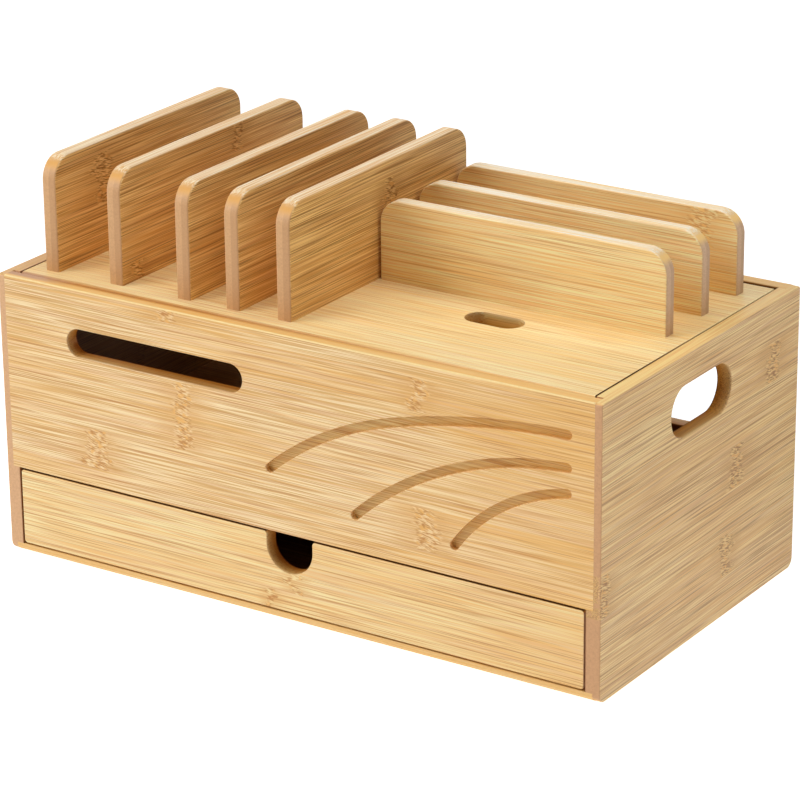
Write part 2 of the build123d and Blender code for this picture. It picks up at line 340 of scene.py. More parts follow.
def makeFibreGroup(look):
    tree, enter, leave = newGroup(
        "bambooFibres",
        [
            ("Vector", "NodeSocketVector"),
            ("Strip", "NodeSocketFloat"),
            ("Knuckle", "NodeSocketFloat"),
            ("Halo", "NodeSocketFloat"),
            ("Gild", "NodeSocketFloat"),
            ("Pale", "NodeSocketColor"),
            ("Honey", "NodeSocketColor"),
            ("Gold", "NodeSocketColor"),
            ("Rose", "NodeSocketColor"),
            ("Brown", "NodeSocketColor"),
        ],
        [("Color", "NodeSocketColor"), ("Roughness", "NodeSocketFloat"), ("Height", "NodeSocketFloat")],
    )
    strip, knuckle, halo = (enter[label] for label in ("Strip", "Knuckle", "Halo"))
    pale, honey, gold = (enter[label] for label in ("Pale", "Honey", "Gold"))
    rose, brown = enter["Rose"], enter["Brown"]

    # each strip takes its fibres from another place in the noise
    alongJump, throughJump = (mathNode(tree, "MULTIPLY", strip, jump) for jump in look["stripJumps"])
    place = vectorNode(tree, "ADD", enter["Vector"], combineNode(tree, alongJump, 0.0, throughJump))
    drift = centredNode(tree, noiseNode(tree, place, look["bends"], 1), look["bendSize"])
    ripple = centredNode(tree, noiseNode(tree, place, look["waves"], 2), look["waveSize"])
    inKnuckle, inHalo = look["waveShares"]
    swell = mathNode(tree, "MULTIPLY_ADD", knuckle, inKnuckle, mathNode(tree, "MULTIPLY", halo, inHalo))
    across = mathNode(tree, "ADD", drift, mathNode(tree, "MULTIPLY", ripple, swell))
    fibrePlace = vectorNode(tree, "ADD", place, combineNode(tree, 0.0, across, across))
    line = noiseNode(tree, fibrePlace, look["lines"], 1)
    hair = noiseNode(tree, fibrePlace, look["hairs"], 1)
    streak = noiseNode(tree, fibrePlace, look["streaks"], 2, 0.6)
    patch = noiseNode(tree, fibrePlace, look["patches"], 2)
    blush = noiseNode(tree, fibrePlace, look["blushes"], 2)
    thread = noiseNode(tree, fibrePlace, look["threads"], 1)
    glint = noiseNode(tree, fibrePlace, look["glints"], 1)
    slant = mathNode(tree, "MULTIPLY", splitNode(tree, place)[0], look["knuckleSlant"])
    dashPlace = vectorNode(tree, "ADD", fibrePlace, combineNode(tree, 0.0, slant, 0.0))
    dash = noiseNode(tree, dashPlace, look["dashes"], 1)
    blob = noiseNode(tree, dashPlace, look["blobs"], 1)

    def showing(noise, key, **options):
        start, full, strength = look[key]
        return rangeNode(tree, noise, start, full, 0, strength, **options)

    contrast = look["contrast"]
    tone = centredNode(tree, line, contrast["lines"])
    tone = mathNode(tree, "ADD", tone, centredNode(tree, hair, contrast["hairs"]))
    tone = mathNode(tree, "ADD", tone, centredNode(tree, streak, contrast["streaks"]))
    base = mathNode(tree, "MULTIPLY_ADD", strip, contrast["strips"], look["brightness"])
    colour = mixNode(tree, mathNode(tree, "ADD", tone, base, clamp=True), honey, pale)
    golden = showing(patch, "goldPatch", smooth=True)
    golden = mathNode(tree, "ADD", golden, showing(glint, "goldGlint", smooth=True))
    golden = mathNode(tree, "ADD", golden, enter["Gild"], clamp=True)
    colour = mixNode(tree, golden, colour, gold)
    colour = mixNode(tree, showing(blush, "roseBlush", smooth=True), colour, rose)
    threadMask = showing(thread, "brownThread")
    colour = mixNode(tree, threadMask, colour, brown)
    colour = mixNode(tree, mathNode(tree, "MULTIPLY", halo, look["haloGold"]), colour, gold)
    colour = mixNode(tree, mathNode(tree, "MULTIPLY", halo, look["haloBrown"]), colour, brown)
    specks = ((dash, "brownDash", brown), (dash, "paleDash", pale), (blob, "goldBlob", gold))
    for noise, key, tint in specks:
        speck = mathNode(tree, "MULTIPLY", showing(noise, key), knuckle)
        colour = mixNode(tree, speck, colour, tint)
    tree.links.new(colour, leave["Color"])

    gloss = rangeNode(tree, streak, 0.3, 0.7, *look["roughness"])
    gloss = mathNode(tree, "MULTIPLY_ADD", knuckle, look["knuckleRoughness"], gloss)
    tree.links.new(gloss, leave["Roughness"])
    relief = look["height"]
    height = mathNode(tree, "MULTIPLY", threadMask, relief["threads"])
    height = mathNode(tree, "MULTIPLY_ADD", line, relief["lines"], height)
    dashHeight = mathNode(tree, "MULTIPLY", mathNode(tree, "MULTIPLY", dash, knuckle), relief["dashes"])
    tree.links.new(mathNode(tree, "ADD", height, dashHeight), leave["Height"])
    return tree


edgeLook = {
    "turned": (0.35, 0.85),  # how far a face turns to an axis to count as a sawn end or a narrow edge
    "cutDepth": (0.0008, 0.0018),  # how far under the outer face a cut face starts, and is one in full
    # where the painted shade of the inner faces starts and where it is full
    "insideDepth": (0.0074, 0.0079),
    "wallDepth": (0.001, 0.006, 0.25, 1),  # two depths, and how strong the painted wall shade is at them
    "openingShare": 0.8,  # how much of the end and edge colours an opening leaves out
    "edgeLines": (16, 1400, 1400),
    "lineRange": (0.35, 0.65),  # where the noise starts to show, and where it shows in full
    "edgeShare": 0.85,
    "endDots": (60, 900, 900),
    "dotRange": (0.40, 0.75),
    "dotShare": 0.45,
    "darkShare": 0.55,
    "plyShare": 0.45,  # how much darker the right half of a divider's ends is
    "cornerGain": 1.6,
    "knuckleShare": 0.6,  # how much a knuckle hides of the end colour
}


def makeEdgeGroup(look):
    # what sawn ends, narrow edges and cut faces do to the colour of the fibres, and the painted shade on
    # cut faces, on the walls of openings and on inner faces
    tree, enter, leave = newGroup(
        "bambooEdges",
        [
            ("Color", "NodeSocketColor"),
            ("Vector", "NodeSocketVector"),
            ("End Grain", "NodeSocketFloat"),
            ("Edge", "NodeSocketFloat"),
            ("Cut", "NodeSocketFloat"),
            ("Inside", "NodeSocketFloat"),
            ("Opening", "NodeSocketFloat"),
            ("Wall", "NodeSocketFloat"),
            ("Ply", "NodeSocketFloat"),
            ("End Color", "NodeSocketColor"),
            ("Edge Color", "NodeSocketColor"),
            ("Cut Color", "NodeSocketColor"),
            ("Wall Color", "NodeSocketColor"),
            ("Inside Color", "NodeSocketColor"),
            ("Gold", "NodeSocketColor"),
        ],
        [("Color", "NodeSocketColor")],
    )
    place, gold, endColour = (enter[label] for label in ("Vector", "Gold", "End Color"))
    kept = mathNode(tree, "MULTIPLY_ADD", enter["Opening"], -look["openingShare"], 1.0)
    ends = mathNode(tree, "MULTIPLY", enter["End Grain"], kept)
    edge = mathNode(tree, "MULTIPLY", enter["Edge"], kept)
    # cut faces get a slight painted shade
    colour = mixNode(tree, enter["Cut"], enter["Color"], enter["Cut Color"], "MULTIPLY")
    lines = noiseNode(tree, place, look["edgeLines"], 2, 0.6)
    edgeShade = mixNode(tree, rangeNode(tree, lines, *look["lineRange"]), gold, enter["Edge Color"])
    colour = mixNode(tree, mathNode(tree, "MULTIPLY", edge, look["edgeShare"]), colour, edgeShade)
    dots = noiseNode(tree, place, look["endDots"], 2, 0.7)
    dark = mixNode(tree, look["darkShare"], endColour, enter["Inside Color"], "MULTIPLY")
    dotted = rangeNode(tree, dots, *look["dotRange"], 0.0, look["dotShare"])
    endShade = mixNode(tree, dotted, endColour, dark)
    endShade = mixNode(tree, mathNode(tree, "MULTIPLY", enter["Ply"], look["plyShare"]), endShade, dark)
    colour = mixNode(tree, ends, colour, endShade)
    corner = mathNode(tree, "MULTIPLY", ends, edge)
    corner = mathNode(tree, "MULTIPLY", corner, look["cornerGain"], clamp=True)
    colour = mixNode(tree, corner, colour, gold)
    # painted shade: inner faces and the walls of openings are darkened
    for label in ("Inside", "Wall"):
        colour = mixNode(tree, enter[label], colour, enter[label + " Color"], "MULTIPLY")
    tree.links.new(colour, leave["Color"])
    return tree


knuckleGroup = makeKnuckleGroup(knuckleLook)
fibreGroup = makeFibreGroup(bambooLook)
edgeGroup = makeEdgeGroup(edgeLook)

woodTones = {
    "golden": {
        "pale": (255, 228, 178),
        "honey": (222, 175, 109),
        "gold": (242, 187, 106),
        "rose": (236, 190, 146),
        "brown": (202, 140, 76),
        "end": (220, 174, 132),
        "edge": (246, 204, 138),
    },
    "cream": {
        "pale": (255, 238, 184),
        "honey": (244, 206, 140),
        "gold": (254, 208, 128),
        "rose": (250, 212, 166),
        "brown": (214, 160, 94),
        "end": (220, 176, 134),
        "edge": (244, 200, 134),
    },
    "tan": {
        "pale": (255, 224, 160),
        "honey": (224, 177, 120),
        "gold": (240, 188, 118),
        "rose": (226, 182, 140),
        "brown": (180, 130, 84),
        "end": (214, 164, 118),
        "edge": (255, 228, 158),
    },
    "amber": {
        "pale": (255, 216, 142),
        "honey": (210, 158, 90),
        "gold": (226, 168, 92),
        "rose": (220, 168, 112),
        "brown": (154, 104, 50),
        "end": (220, 172, 122),
        "edge": (255, 242, 212),
    },
    # darker tone for the boards inside the case: painted shade for its dark inside
    "raw": {
        "pale": (196, 154, 106),
        "honey": (168, 124, 78),
        "gold": (178, 128, 72),
        "rose": (178, 134, 98),
        "brown": (136, 90, 52),
        "end": (168, 124, 88),
        "edge": (172, 126, 82),
    },
    "straw": {
        "pale": (255, 243, 186),
        "honey": (248, 206, 140),
        "gold": (255, 210, 132),
        "rose": (253, 214, 160),
        "brown": (220, 166, 102),
        "end": (222, 184, 146),
        "edge": (255, 252, 240),
    },
}
cutFaceShadeTint = (240, 237, 212)  # slight painted shade: grooves and sawn walls a touch darker and warmer than the faces
wallShadeTint = (248, 206, 142)  # painted shade: the walls of an opening, darker and warmer deeper in
insideShadeAndEndDarkTint = (176, 150, 130)  # painted shade on the inner faces, for the dark inside of the case; it also darkens the dots and one ply of sawn ends


def bandMask(tree, spot, bands):
    # a band is an axis and the places where it starts and is full; the mask is where all bands meet
    mask = 1.0
    for axis, start, full in bands:
        band = rangeNode(tree, spot[axis], start * mm, full * mm)
        mask = mathNode(tree, "MULTIPLY", band, mask)
    return mask


def bamboo(name, look):
    # grain and across are the axes 0, 1 or 2 that the fibres run along and the strips lie across;
    # outside is where the outer face stands on the third axis, and faces deeper in are cut faces, which
    # get a slight painted shade, while faces deeper still get the painted shade of the inside;
    # openings are the bands where cut faces keep the colour of the fibres, walls (if given) those
    # where a painted shade makes them darker and warmer further in; a painted shade or painted highlight
    # is a colour and the bands that it lies in
    material, tree = newMaterial(name)
    shader = tree.nodes["Principled BSDF"]
    tones = {**woodTones[look["tone"]], **look.get("tints", {})}
    coords = tree.nodes.new("ShaderNodeTexCoord")
    spot = splitNode(tree, coords.outputs["Object"])
    grain, across = look["grain"], look["across"]
    depth = 3 - grain - across
    place = combineNode(tree, spot[grain], spot[across], spot[depth])

    # strips: a ramp across the board holds a tone for each one
    low, high = look["span"]
    ramp = tree.nodes.new("ShaderNodeValToRGB")
    ramp.color_ramp.interpolation = "CONSTANT"
    tree.links.new(rangeNode(tree, spot[across], low * mm, high * mm), ramp.inputs["Fac"])
    stops = ramp.color_ramp.elements
    for index, (edge, tone) in enumerate(look["strips"]):
        share = (edge - low) / (high - low)
        stop = stops[0] if index == 0 else stops.new(share)
        stop.position = share
        stop.color = (tone, tone, tone, 1)
    stops.remove(stops[-1])

    # knuckles: the strongest of their masks
    knuckle, halo = 0.0, 0.0
    for along, bottom, top, width in look.get("knuckles", ()):
        node = groupNode(tree, knuckleGroup)
        tree.links.new(place, node.inputs["Vector"])
        for label, value in (("Along", along), ("Low", bottom), ("High", top), ("Width", width)):
            node.inputs[label].default_value = value * mm
        knuckle = mathNode(tree, "MAXIMUM", knuckle, node.outputs["Mask"])
        halo = mathNode(tree, "MAXIMUM", halo, node.outputs["Halo"])

    # the seed moves each board to another place in the noise
    fibres = groupNode(tree, fibreGroup)
    jump = tuple(look["seed"] * size for size in bambooLook["seedJumps"])
    offset = vectorNode(tree, "ADD", place, jump)
    tree.links.new(offset, fibres.inputs["Vector"])
    tree.links.new(ramp.outputs["Color"], fibres.inputs["Strip"])
    toSocket(tree, knuckle, fibres.inputs["Knuckle"])
    toSocket(tree, halo, fibres.inputs["Halo"])
    if "gild" in look:
        start, end, share = look["gild"]
        gild = rangeNode(tree, spot[grain], start * mm, end * mm, 0, share, smooth=True)
        tree.links.new(gild, fibres.inputs["Gild"])
    for label in ("Pale", "Honey", "Gold", "Rose", "Brown"):
        fibres.inputs[label].default_value = srgb(*tones[label.lower()])

    # sawn ends face along the fibres, narrow edges across them
    facing = splitNode(tree, coords.outputs["Normal"])
    edges = groupNode(tree, edgeGroup)
    tree.links.new(fibres.outputs["Color"], edges.inputs["Color"])
    tree.links.new(offset, edges.inputs["Vector"])
    narrow, sawn = (
        rangeNode(tree, mathNode(tree, "ABSOLUTE", facing[axis]), *edgeLook["turned"], smooth=True)
        for axis in (across, grain)
    )
    tree.links.new(narrow, edges.inputs["Edge"])
    shown = mathNode(tree, "MULTIPLY_ADD", knuckle, -edgeLook["knuckleShare"], 1.0)
    tree.links.new(mathNode(tree, "MULTIPLY", sawn, shown), edges.inputs["End Grain"])
    if "outside" in look:
        depthIn = mathNode(tree, "SUBTRACT", spot[depth], look["outside"] * mm)
        depthIn = mathNode(tree, "ABSOLUTE", depthIn)
        cut = rangeNode(tree, depthIn, *edgeLook["cutDepth"])
        tree.links.new(cut, edges.inputs["Cut"])
        # inner faces get the painted shade of the inside of the case
        tree.links.new(rangeNode(tree, depthIn, *edgeLook["insideDepth"]), edges.inputs["Inside"])
        if "openings" in look:
            tree.links.new(bandMask(tree, spot, look["openings"]), edges.inputs["Opening"])
            deeper = mathNode(tree, "MULTIPLY", cut, rangeNode(tree, depthIn, *edgeLook["wallDepth"]))
            walls = bandMask(tree, spot, look.get("walls", look["openings"]))
            tree.links.new(mathNode(tree, "MULTIPLY", deeper, walls), edges.inputs["Wall"])
    if "ply" in look:
        half = mathNode(tree, "SUBTRACT", spot[depth], look["ply"] * mm)
        tree.links.new(rangeNode(tree, half, -0.0001, 0.0001), edges.inputs["Ply"])
    for label in ("End", "Edge"):
        edges.inputs[label + " Color"].default_value = srgb(*tones[label.lower()])
    edges.inputs["Cut Color"].default_value = srgb(*cutFaceShadeTint)
    edges.inputs["Wall Color"].default_value = srgb(*tones.get("wall", wallShadeTint))
    edges.inputs["Inside Color"].default_value = srgb(*insideShadeAndEndDarkTint)
    edges.inputs["Gold"].default_value = srgb(*tones["gold"])

    colour = edges.outputs["Color"]
    # painted shade and painted highlights: each colour laid over the wood where its bands meet
    for shade, *bands in look.get("paintedLightAndShade", ()):
        colour = mixNode(tree, bandMask(tree, spot, bands), colour, srgb(*shade))
    tree.links.new(colour, shader.inputs["Base Color"])
    tree.links.new(fibres.outputs["Roughness"], shader.inputs["Roughness"])
    bump = tree.nodes.new("ShaderNodeBump")
    bump.inputs["Strength"].default_value = bambooLook["bumpStrength"]
    bump.inputs["Distance"].default_value = bambooLook["bumpDepth"]
    tree.links.new(fibres.outputs["Height"], bump.inputs["Height"])
    tree.links.new(bump.outputs["Normal"], shader.inputs["Normal"])
    shader.inputs["Specular IOR Level"].default_value = bambooLook["specular"]
    shader.inputs["Coat Weight"].default_value = bambooLook["coat"]
    shader.inputs["Coat Roughness"].default_value = bambooLook["coatRoughness"]
    return material


# Modelling tools

past = 0.01  # how far a cutter reaches past the faces that it opens
close = 0.01 * mm  # places nearer than this count as one
almost = 0.999  # a full half width would leave edges without length between two roundings
cornerAngle = radians(40)


def startBoard(name, low, high):
    bpy.ops.object.select_all(action="DESELECT")
    low, high = Vector(low), Vector(high)
    bpy.ops.mesh.primitive_cube_add(size=1, location=(low + high) / 2)
    board = bpy.context.object
    board.name = name
    board.data.name = name
    board.scale = high - low
    bpy.ops.object.transform_apply(location=True, rotation=True, scale=True)
    return board


def makeActive(piece):
    bpy.ops.object.select_all(action="DESELECT")
    piece.select_set(True)
    bpy.context.view_layer.objects.active = piece


def middleOf(edge):
    return (edge.verts[0].co + edge.verts[1].co) / 2


def runsAlong(edge, axis):
    step = edge.verts[1].co - edge.verts[0].co
    return abs(step[axis]) > 0.99 * step.length


def isCorner(edge):
    return edge.calc_face_angle(0) > cornerAngle


def liesOn(edge, axis, place):
    return all(abs(vertex.co[axis] - place) < close for vertex in edge.verts)


def roundEdges(piece, radius, steps, isPicked):
    # bevels the edges that pass the test
    makeActive(piece)
    bpy.ops.object.mode_set(mode="EDIT")
    bpy.ops.mesh.select_mode(type="EDGE")
    bpy.ops.mesh.select_all(action="DESELECT")
    mesh = bmesh.from_edit_mesh(piece.data)
    for edge in mesh.edges:
        edge.select = isPicked(edge)
    mesh.select_flush_mode()
    bmesh.update_edit_mesh(piece.data)
    bpy.ops.mesh.bevel(offset=radius, segments=steps, profile=0.5, affect="EDGES")
    bpy.ops.object.mode_set(mode="OBJECT")


def cutWith(piece, cutter):
    cut = piece.modifiers.new("cut", "BOOLEAN")
    cut.operation = "DIFFERENCE"
    cut.solver = "EXACT"
    cut.object = cutter
    makeActive(piece)
    bpy.ops.object.modifier_apply(modifier=cut.name)
    bpy.data.objects.remove(cutter)


def slotCutter(low, high, axis, radius, steps=24):
    # a board-shaped cutter whose corners are round, seen along the axis
    cutter = startBoard("cutter", low, high)
    roundEdges(cutter, radius, steps, lambda edge: runsAlong(edge, axis))
    return cutter


def cutOpening(board, box, axis, middle, size):
    # an opening with round ends through the board; its middle and size lie on the two other axes
    low, high = (corner.copy() for corner in box)
    others = [number for number in range(3) if number != axis]
    for number, place, length in zip(others, middle, size):
        low[number] = place * mm - length * mm / 2
        high[number] = place * mm + length * mm / 2
    low[axis] -= past
    high[axis] += past
    cutWith(board, slotCutter(low, high, axis, min(size) * mm / 2 * almost))


def smoothBoard(piece):
    makeActive(piece)
    bpy.ops.object.shade_smooth_by_angle(angle=cornerAngle)
    weighted = piece.modifiers.new("flatFaces", "WEIGHTED_NORMAL")
    weighted.mode = "FACE_AREA"
    weighted.weight = 60
    weighted.keep_sharp = True
    bpy.ops.object.modifier_apply(modifier=weighted.name)


def finishPiece(piece, material, body, node):
    smoothBoard(piece)
    piece.data.materials.clear()
    piece.data.materials.append(material)
    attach(piece, body)
    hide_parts(node)


def grownBox(node, front=0.0, back=0.0, foot=0.0, top=0.0):
    low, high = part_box(node)
    return low - Vector((0, front, foot)), high + Vector((0, back, top))


def copyPiece(piece, name, step=(0, 0, 0), scale=(1, 1, 1)):
    # a copy with a mesh of its own, moved by the step, or mirrored by a scale with a -1
    makeActive(piece)
    bpy.ops.object.duplicate()
    copy = bpy.context.object
    copy.name = name
    copy.data.name = name
    bpy.ops.object.mode_set(mode="EDIT")
    bpy.ops.mesh.select_all(action="SELECT")
    bpy.ops.transform.resize(value=scale, center_override=(0, 0, 0))
    bpy.ops.transform.translate(value=step)
    bpy.ops.mesh.normals_make_consistent(inside=False)
    bpy.ops.object.mode_set(mode="OBJECT")
    return copy


# Case sides, with a hand hole in each and housings for the boards between them

sideLook = {
    "footRadius": 5.0,
    "shoulderRadius": 1.5,
    "ease": 0.6,
    "holeMiddle": (-2.5, 121.5),
    "holeSize": (59.0, 26.0),
}
handHole = ((1, -36, -35), (1, 31, 30), (2, 106, 107), (2, 137, 136))
rightSideWood = {
    "tone": "tan",
    "outside": 175.0,
    "openings": handHole,
    "seed": 1,
    "grain": 1,
    "across": 2,
    "span": (0, 150),
    "strips": ((0, 0.25), (21, 0.45), (43, 0.5), (65, 0.62), (87, 0.42), (108, 0.66), (129, 0.36)),
    "knuckles": ((70, 108, 129, 7.5), (34, 65, 87, 8), (25, 21, 43, 7), (-94, 43, 65, 6)),
}
leftSideWood = {
    "tone": "tan",
    "tints": {"edge": (228, 184, 130), "gold": (218, 170, 108), "end": (226, 178, 132)},
    "outside": -175.0,
    "openings": handHole,
    "seed": 2,
    "grain": 1,
    "across": 2,
    "span": (0, 150),
    "strips": ((0, 0.6), (24, 0.4), (47, 0.65), (70, 0.45), (92, 0.7), (113, 0.4), (134, 0.6)),
    "knuckles": ((-40, 24, 47, 7), (52, 92, 113, 6), (8, 70, 92, 6)),
}


def makeRightSide():
    low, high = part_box("right_side_panel")
    board = startBoard("right_side_board", low, high)
    roundEdges(
        board,
        sideLook["footRadius"] * mm,
        12,
        lambda edge: runsAlong(edge, 0) and middleOf(edge).z < low.z + mm,
    )
    roundEdges(
        board,
        sideLook["shoulderRadius"] * mm,
        5,
        lambda edge: runsAlong(edge, 0) and middleOf(edge).z > high.z - mm,
    )
    cutOpening(board, (low, high), 0, sideLook["holeMiddle"], sideLook["holeSize"])
    for housing in (
        grownBox("front_panel", front=past, top=past),
        grownBox("back_panel", back=past, top=past),
        grownBox("base_panel", front=past, back=past, foot=past),
        grownBox("drawer_shelf"),
    ):
        cutWith(board, startBoard("housing", *housing))
    roundEdges(
        board,
        sideLook["ease"] * mm,
        3,
        lambda edge: isCorner(edge) and liesOn(edge, 0, high.x),
    )
    return board


rightSide = makeRightSide()
leftSide = copyPiece(rightSide, "left_side_board", scale=(-1, 1, 1))
rightBamboo, leftBamboo = bamboo("rightSideBamboo", rightSideWood), bamboo("leftSideBamboo", leftSideWood)
finishPiece(rightSide, rightBamboo, "case", "right_side_panel")
finishPiece(leftSide, leftBamboo, "case", "left_side_panel")
print("sides done")

# Front board, with the cable slot and three carved sweeps

frontLook = {
    "ease": 0.3,
    "seam": 2.0,  # rounding of the inner top edge, beside the lid
    "slotMiddle": (-79.3, 121.9),
    "slotSize": (107.0, 15.0),
    "grooveWidth": 4.9,
    "grooveDepth": 3.0,
    "grooveStep": 3.6,  # length of one step of a sweep's curve
    "grooveEnd": 0.499,  # rounding of a sweep's ends over its width
}
# each sweep is one or two arcs: the circle's middle in X and Z, its radius, and the arc's ends in X
carvedSweeps = (
    ((107.2, -55.2, 179.2, -10.6, 60.0), (162.7, -253.7, 385.2, 60.0, 156.5)),
    ((164.2, -68.0, 183.4, 39.0, 156.5),),
    ((174.5, 7.2, 97.0, 95.2, 156.5),),
)
# painted shade for the groove between the front board and the lid, on both boards
seamShadeColour = (196, 134, 58)
seamEndShadeColour = (196, 150, 112)
frontWood = {
    "tone": "golden",
    "outside": -96.5,
    "openings": ((2, 54, 55), (2, 141, 140)),
    # where the slot's walls get the painted shade
    "walls": ((0, -20, -21), (2, 110, 111), (2, 134, 133)),
    "seed": 3,
    "grain": 0,
    "across": 2,
    "span": (47, 150),
    "strips": ((47, 0.8), (56.5, 0.9), (78, 0.8), (96, 0.6), (113.5, 0.45), (126, 0.4), (143, 0.35)),
    "gild": (20, 150, 0.40),
    "knuckles": (
        (-62, 78, 113.5, 7),
        (-116, 56.5, 78, 8),
        (75, 126, 143, 6),
        (79, 56.5, 78, 8),
        (-70, 143, 150, 8),
    ),
    # painted shade in the groove beside the lid, dark at its left and light at its right, and a painted
    # highlight on its front edge
    "paintedLightAndShade": (
        (seamShadeColour, (1, -92.5, -90.5), (2, 146, 147), (0, 140, -60)),
        (seamEndShadeColour, (1, -95, -93), (2, 146, 147), (0, -130, -155)),
        ((255, 226, 160), (1, -95.4, -96.1), (2, 149.2, 149.6)),
    ),
}


def placeOnArc(middle, radius, turn):
    return middle + radius * Vector((cos(turn), 0, sin(turn)))


def sweepCutter(arcs, face):
    # an upright frame spun round the middle of each arc in turn, from half a width before the first
    # place to half a width past the last one, then closed and rounded at both ends
    width, depth, step = (frontLook[key] * mm for key in ("grooveWidth", "grooveDepth", "grooveStep"))
    turns = []
    for arc in arcs:
        middleX, middleZ, radius, startX, endX = (value * mm for value in arc)
        first, last = acos((startX - middleX) / radius), acos((endX - middleX) / radius)
        turns.append([Vector((middleX, 0, middleZ)), radius, first, last])
    turns[0][2] += width / 2 / turns[0][1]
    turns[-1][3] -= width / 2 / turns[-1][1]
    turn = turns[0][2]
    start = placeOnArc(*turns[0][:3])
    end = placeOnArc(*turns[-1][:2], turns[-1][3])
    bpy.ops.object.select_all(action="DESELECT")
    place = start + Vector((0, face + (depth - past) / 2, 0))
    bpy.ops.mesh.primitive_plane_add(size=1, location=place, rotation=(0, -turn, 0))
    cutter = bpy.context.object
    cutter.scale = (width, depth + past, 1)
    bpy.ops.object.transform_apply(location=True, rotation=True, scale=True)
    bpy.ops.object.mode_set(mode="EDIT")
    bpy.ops.mesh.select_all(action="SELECT")
    bpy.ops.mesh.delete(type="ONLY_FACE")
    bpy.ops.mesh.select_all(action="SELECT")
    for middle, radius, first, last in turns:
        steps = max(12, int((first - last) * radius / step))
        bpy.ops.mesh.spin(steps=steps, angle=last - first, center=middle, axis=(0, 1, 0))
    bpy.ops.mesh.select_all(action="SELECT")
    bpy.ops.mesh.remove_doubles(threshold=close)
    bpy.ops.mesh.fill_holes(sides=4)
    bpy.ops.mesh.select_all(action="SELECT")
    bpy.ops.mesh.normals_make_consistent(inside=False)
    bpy.ops.object.mode_set(mode="OBJECT")

    def isEnd(edge):
        flat = middleOf(edge) * Vector((1, 0, 1))
        return runsAlong(edge, 1) and min((flat - start).length, (flat - end).length) < width * 0.6

    roundEdges(cutter, width * frontLook["grooveEnd"], 10, isEnd)
    return cutter


def makeFront():
    low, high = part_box("front_panel")
    board = startBoard("front_board", low, high)
    roundEdges(
        board,
        frontLook["seam"] * mm,
        10,
        lambda edge: runsAlong(edge, 0) and liesOn(edge, 2, high.z) and liesOn(edge, 1, high.y),
    )
    cutOpening(board, (low, high), 1, frontLook["slotMiddle"], frontLook["slotSize"])
    for arcs in carvedSweeps:
        cutWith(board, sweepCutter(arcs, low.y))
    # the ends are glued flush into the sides, so they keep their edges
    roundEdges(
        board,
        frontLook["ease"] * mm,
        3,
        lambda edge: isCorner(edge) and liesOn(edge, 1, low.y) and abs(middleOf(edge).x) < high.x - mm,
    )
    finishPiece(board, bamboo("frontBamboo", frontWood), "case", "front_panel")


makeFront()
print("front done")

# Back board, with its window

backLook = {
    "housing": 4.0,  # how deep the board's ends go into the sides
    "lowWall": 66.3,
    "topRail": 23.7,
    "post": 33.0,  # from the outside of the box to the window
    "radius": 10.0,
    "ease": 0.8,
}
backWood = {
    "tone": "golden",
    "outside": 96.5,
    "openings": ((0, -150, -149), (0, 150, 149), (2, 63, 64), (2, 129, 128)),
    "seed": 4,
    "grain": 0,
    "across": 2,
    "span": (0, 150),
    "strips": ((0, 0.5), (22, 0.7), (44, 0.4), (66, 0.6), (98, 0.45), (127, 0.65)),
    "knuckles": ((-96, 22, 44, 7), (66, 44, 66, 7), (118, 127, 150, 7), (-40, 5, 22, 6)),
}


def makeBack():
    low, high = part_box("back_panel")
    board = startBoard("back_board", low, high)
    side = high.x + backLook["housing"] * mm - backLook["post"] * mm
    windowLow = (-side, low.y - past, backLook["lowWall"] * mm)
    windowHigh = (side, high.y + past, high.z - backLook["topRail"] * mm)
    cutWith(board, slotCutter(windowLow, windowHigh, 1, backLook["radius"] * mm, 16))
    roundEdges(
        board,
        backLook["ease"] * mm,
        3,
        lambda edge: isCorner(edge)
        and abs(middleOf(edge).x) < high.x - mm
        and (abs(middleOf(edge).x) < side + mm or middleOf(edge).y > high.y - mm)
        and middleOf(edge).z > low.z + mm,
    )
    finishPiece(board, bamboo("backBamboo", backWood), "case", "back_panel")


makeBack()
print("back done")

# Base: its rounded front edge shows under the drawer

baseLook = {"round": 4.6}
baseWood = {
    "tone": "golden",
    "outside": 0.0,
    "seed": 5,
    "grain": 0,
    "across": 1,
    "span": (-97, 97),
    "strips": ((-97, 0.25), (-70, 0.6), (-42, 0.4), (-12, 0.65), (20, 0.45), (50, 0.6), (78, 0.4)),
}


def makeBase():
    low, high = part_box("base_panel")
    board = startBoard("base_board", low, high)
    roundEdges(
        board,
        baseLook["round"] * mm,
        8,
        lambda edge: runsAlong(edge, 0) and middleOf(edge).z < low.z + mm,
    )
    finishPiece(board, bamboo("baseBamboo", baseWood), "case", "base_panel")


makeBase()
print("base done")

# Lid board, with its cable hole and the countersunk screw holes underneath

lidLook = {
    "seam": 1.0,
    "ease": 0.3,
    "holeMiddle": (73.4, -25.3),
    "holeSize": (31.5, 15.5),
    "screwShare": 0.68,  # distance between a divider's two screws over its length
    "countersink": (3.7, 1.9, 1.8),
}
lidWood = {
    "tone": "cream",
    "gild": (-152, -164, 0.35),
    "outside": 150.0,
    "seed": 6,
    "grain": 0,
    "across": 1,
    "span": (-89, 86),
    "openings": ((0, 50, 51), (0, 97, 96), (1, -40, -39), (1, -10, -11)),
    "strips": ((-89, 0.7), (-66, 0.45), (-45, 0.75), (-22, 0.6), (4, 0.6), (30, 0.7), (58, 0.6)),
    # painted shade on the seam at its front; on its right end in the gap, painted shade in front and
    # painted light behind
    "paintedLightAndShade": (
        (seamShadeColour, (1, -86.8, -88), (0, 165, -60)),
        (seamEndShadeColour, (1, -86.8, -88), (0, -130, -155)),
        ((255, 232, 170), (0, 165.6, 165.9), (1, -40, 30)),
        ((88, 60, 20), (0, 165.9, 166.15), (1, 0, -50)),
    ),
}
dividerNodes = ["long_divider_%d" % number for number in range(1, 6)]
dividerNodes += ["cross_divider_front", "cross_divider_middle", "cross_divider_back"]


